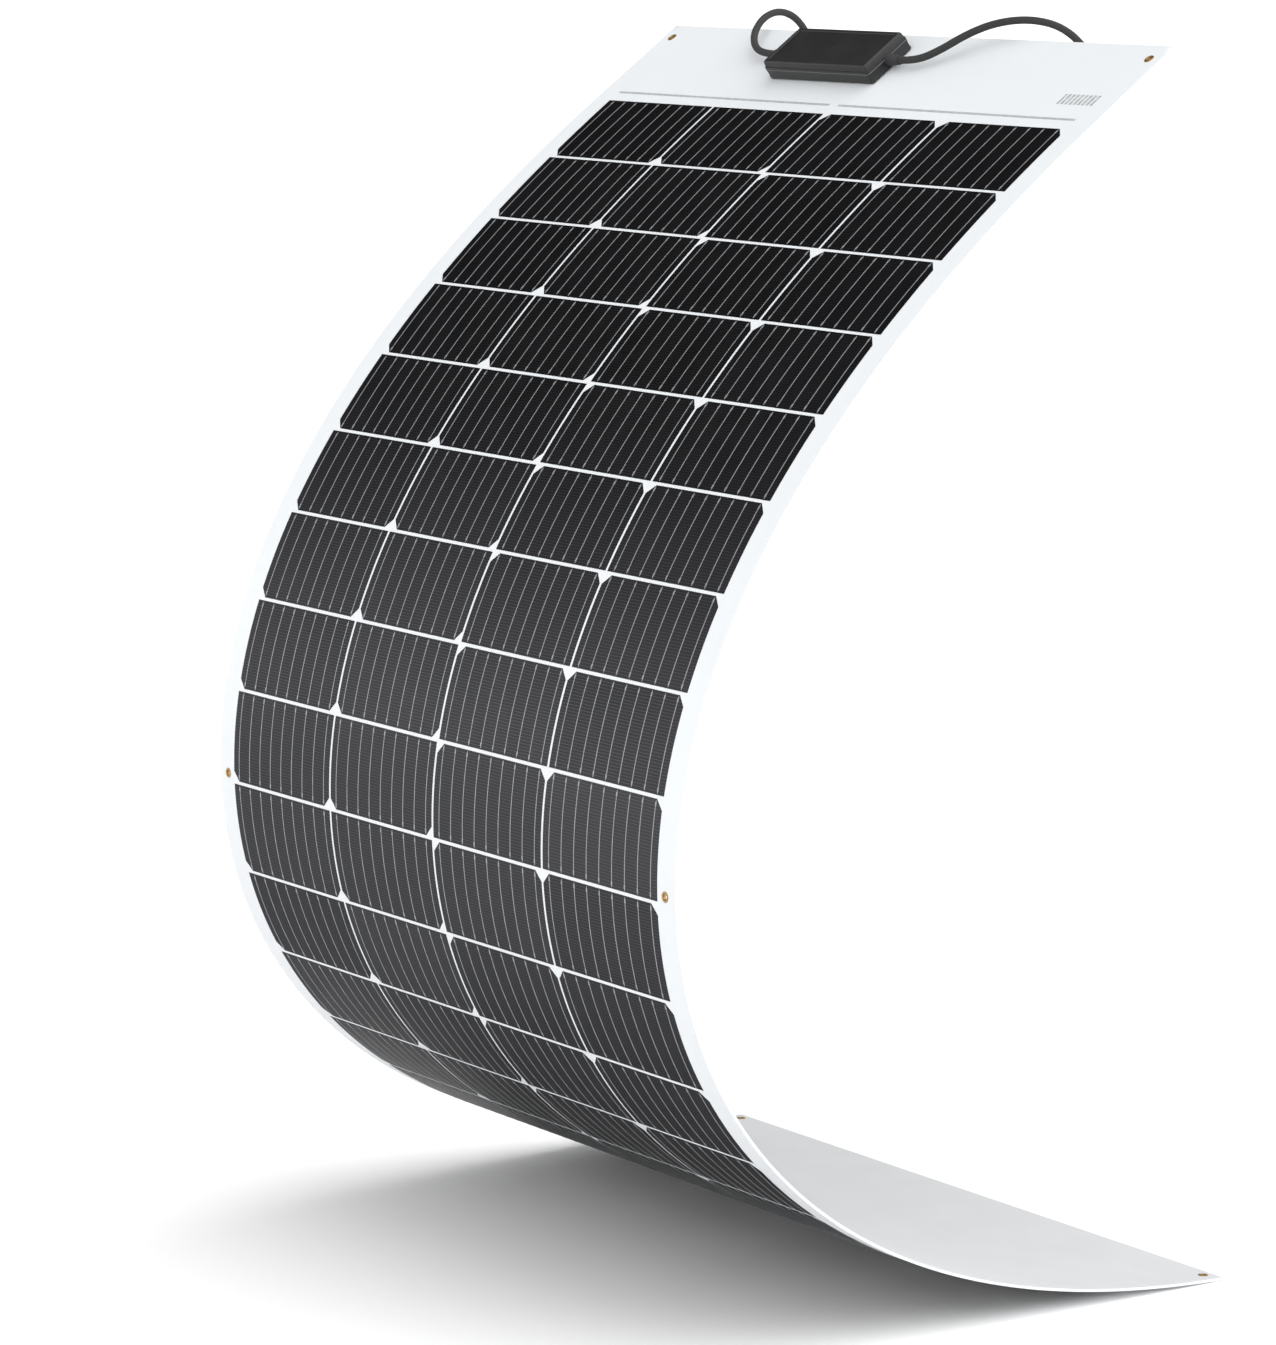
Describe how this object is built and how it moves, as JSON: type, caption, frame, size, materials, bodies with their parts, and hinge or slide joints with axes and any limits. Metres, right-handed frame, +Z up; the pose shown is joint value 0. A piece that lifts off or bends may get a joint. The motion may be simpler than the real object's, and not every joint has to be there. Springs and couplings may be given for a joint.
{
  "type": "flexible solar sheet",
  "caption": "Thin flexible solar sheet bent into an open C, with half-cut cells under a clear film, corner eyelets, a flat junction box and two tied connector cables.",
  "frame": {"origin": "under the middle of the bent sheet's box, at the height of its lowest point", "axes": "+X the way the C opens, +Y across the sheet towards the positive cable's side, +Z up"},
  "size_m": [0.5678, 0.684, 1.0497],
  "materials": {
    "white_back_sheet": "satin white polymer sheet",
    "silicon_cell": "dark monocrystalline silicon",
    "clear_front_film": "clear fluoropolymer film",
    "brass_eyelet": "rolled brass",
    "tinned_copper": "tinned copper strip",
    "silicone_rubber": "cured silicone",
    "black_box_plastic": "moulded, fine texture",
    "black_nylon": "moulded nylon",
    "diode_epoxy": "moulded epoxy",
    "cable_jacket": "extruded jacket"
  },
  "bodies": {
    "strip_01": {"back_sheet_01": "white_back_sheet", "cells_01": "silicon_cell", "front_film_01": "clear_front_film", "top_eyelets": "brass_eyelet", "top_bus_ribbons": "tinned_copper", "adhesive_pad": "silicone_rubber", "junction_box_base": "black_box_plastic", "junction_box_seal": "silicone_rubber", "junction_box_lid": "black_box_plastic", "terminal_rails": "tinned_copper", "bypass_diodes": "diode_epoxy", "cable_glands": "black_nylon", "negative_cable": "cable_jacket", "positive_cable": "cable_jacket", "negative_coil": "cable_jacket", "positive_coil": "cable_jacket", "coil_ties": "black_nylon", "connector_nuts": "black_nylon", "negative_connector": "black_box_plastic", "positive_connector": "black_box_plastic", "connector_contacts": "tinned_copper"},
    "strip_02": {"back_sheet_02": "white_back_sheet", "cells_02": "silicon_cell", "front_film_02": "clear_front_film"},
    "strip_03": {"back_sheet_03": "white_back_sheet", "cells_03": "silicon_cell", "front_film_03": "clear_front_film"},
    "strip_04": {"back_sheet_04": "white_back_sheet", "cells_04": "silicon_cell", "front_film_04": "clear_front_film"},
    "strip_05": {"back_sheet_05": "white_back_sheet", "cells_05": "silicon_cell", "front_film_05": "clear_front_film"},
    "strip_06": {"back_sheet_06": "white_back_sheet", "cells_06": "silicon_cell", "front_film_06": "clear_front_film", "middle_eyelets": "brass_eyelet"},
    "strip_07": {"back_sheet_07": "white_back_sheet", "cells_07": "silicon_cell", "front_film_07": "clear_front_film"},
    "strip_08": {"back_sheet_08": "white_back_sheet", "cells_08": "silicon_cell", "front_film_08": "clear_front_film"},
    "strip_09": {"back_sheet_09": "white_back_sheet", "cells_09": "silicon_cell", "front_film_09": "clear_front_film"},
    "strip_10": {"back_sheet_10": "white_back_sheet", "cells_10": "silicon_cell", "front_film_10": "clear_front_film"},
    "strip_11": {"back_sheet_11": "white_back_sheet", "cells_11": "silicon_cell", "front_film_11": "clear_front_film"},
    "strip_12": {"back_sheet_12": "white_back_sheet", "cells_12": "silicon_cell", "front_film_12": "clear_front_film"},
    "strip_13": {"back_sheet_13": "white_back_sheet", "cells_13": "silicon_cell", "front_film_13": "clear_front_film", "bottom_eyelets": "brass_eyelet", "bottom_bus_ribbons": "tinned_copper"}
  },
  "joints": [
    {"name": "sheet_bend", "type": "hinge", "parent": "strip_06", "child": "strip_07", "pos_m": [-0.28208, 0, 0.38628], "axis": [0, -1, 0], "range_deg": [-13.26, 7.96], "stiffness_Nm_per_rad": 20},
    {"name": "bend_at_line_10", "type": "hinge", "parent": "strip_07", "child": "strip_08", "pos_m": [-0.26933, 0, 0.30631], "axis": [0, -1, 0], "range_deg": [-14.29, 8.58], "stiffness_Nm_per_rad": 20},
    {"name": "bend_at_line_11", "type": "hinge", "parent": "strip_08", "child": "strip_09", "pos_m": [-0.23748, 0, 0.23188], "axis": [0, -1, 0], "range_deg": [-13.97, 8.39], "stiffness_Nm_per_rad": 20},
    {"name": "bend_at_line_12", "type": "hinge", "parent": "strip_09", "child": "strip_10", "pos_m": [-0.18877, 0, 0.16717], "axis": [0, -1, 0], "range_deg": [-12.49, 7.5], "stiffness_Nm_per_rad": 20},
    {"name": "bend_at_line_13", "type": "hinge", "parent": "strip_10", "child": "strip_11", "pos_m": [-0.12727, 0, 0.1144], "axis": [0, -1, 0], "range_deg": [-10.47, 6.29], "stiffness_Nm_per_rad": 20},
    {"name": "bend_at_line_14", "type": "hinge", "parent": "strip_11", "child": "strip_12", "pos_m": [-0.05717, 0, 0.07365], "axis": [0, -1, 0], "range_deg": [-12.05, 7.24], "stiffness_Nm_per_rad": 20},
    {"name": "bend_at_line_16", "type": "hinge", "parent": "strip_12", "child": "strip_13", "pos_m": [0.09664, 0, 0.0229], "axis": [0, -1, 0], "range_deg": [-10.94, 6.57], "stiffness_Nm_per_rad": 20},
    {"name": "bend_at_line_08", "type": "hinge", "parent": "strip_06", "child": "strip_05", "pos_m": [-0.27631, 0, 0.46709], "axis": [0, 1, 0], "range_deg": [-11.43, 6.86], "stiffness_Nm_per_rad": 20},
    {"name": "bend_at_line_07", "type": "hinge", "parent": "strip_05", "child": "strip_04", "pos_m": [-0.25468, 0, 0.54522], "axis": [0, 1, 0], "range_deg": [-9.37, 5.63], "stiffness_Nm_per_rad": 20},
    {"name": "bend_at_line_06", "type": "hinge", "parent": "strip_04", "child": "strip_03", "pos_m": [-0.22059, 0, 0.61881], "axis": [0, 1, 0], "range_deg": [-10.69, 6.42], "stiffness_Nm_per_rad": 20},
    {"name": "bend_at_line_04", "type": "hinge", "parent": "strip_03", "child": "strip_02", "pos_m": [-0.12668, 0, 0.75087], "axis": [0, 1, 0], "range_deg": [-9.75, 5.86], "stiffness_Nm_per_rad": 20},
    {"name": "bend_at_line_02", "type": "hinge", "parent": "strip_02", "child": "strip_01", "pos_m": [-0.01141, 0, 0.86501], "axis": [0, 1, 0], "range_deg": [-6.53, 3.93], "stiffness_Nm_per_rad": 20}
  ],
  "couplings": [
    {"joint": "bend_at_line_10", "follows": "sheet_bend", "ratio": 1.076},
    {"joint": "bend_at_line_11", "follows": "sheet_bend", "ratio": 1.0521},
    {"joint": "bend_at_line_12", "follows": "sheet_bend", "ratio": 0.94038},
    {"joint": "bend_at_line_13", "follows": "sheet_bend", "ratio": 0.78808},
    {"joint": "bend_at_line_14", "follows": "sheet_bend", "ratio": 0.90734},
    {"joint": "bend_at_line_16", "follows": "sheet_bend", "ratio": 0.82365},
    {"joint": "bend_at_line_08", "follows": "sheet_bend", "ratio": 0.85997},
    {"joint": "bend_at_line_07", "follows": "sheet_bend", "ratio": 0.70492},
    {"joint": "bend_at_line_06", "follows": "sheet_bend", "ratio": 0.80442},
    {"joint": "bend_at_line_04", "follows": "sheet_bend", "ratio": 0.7333},
    {"joint": "bend_at_line_02", "follows": "sheet_bend", "ratio": 0.49084}
  ]
}
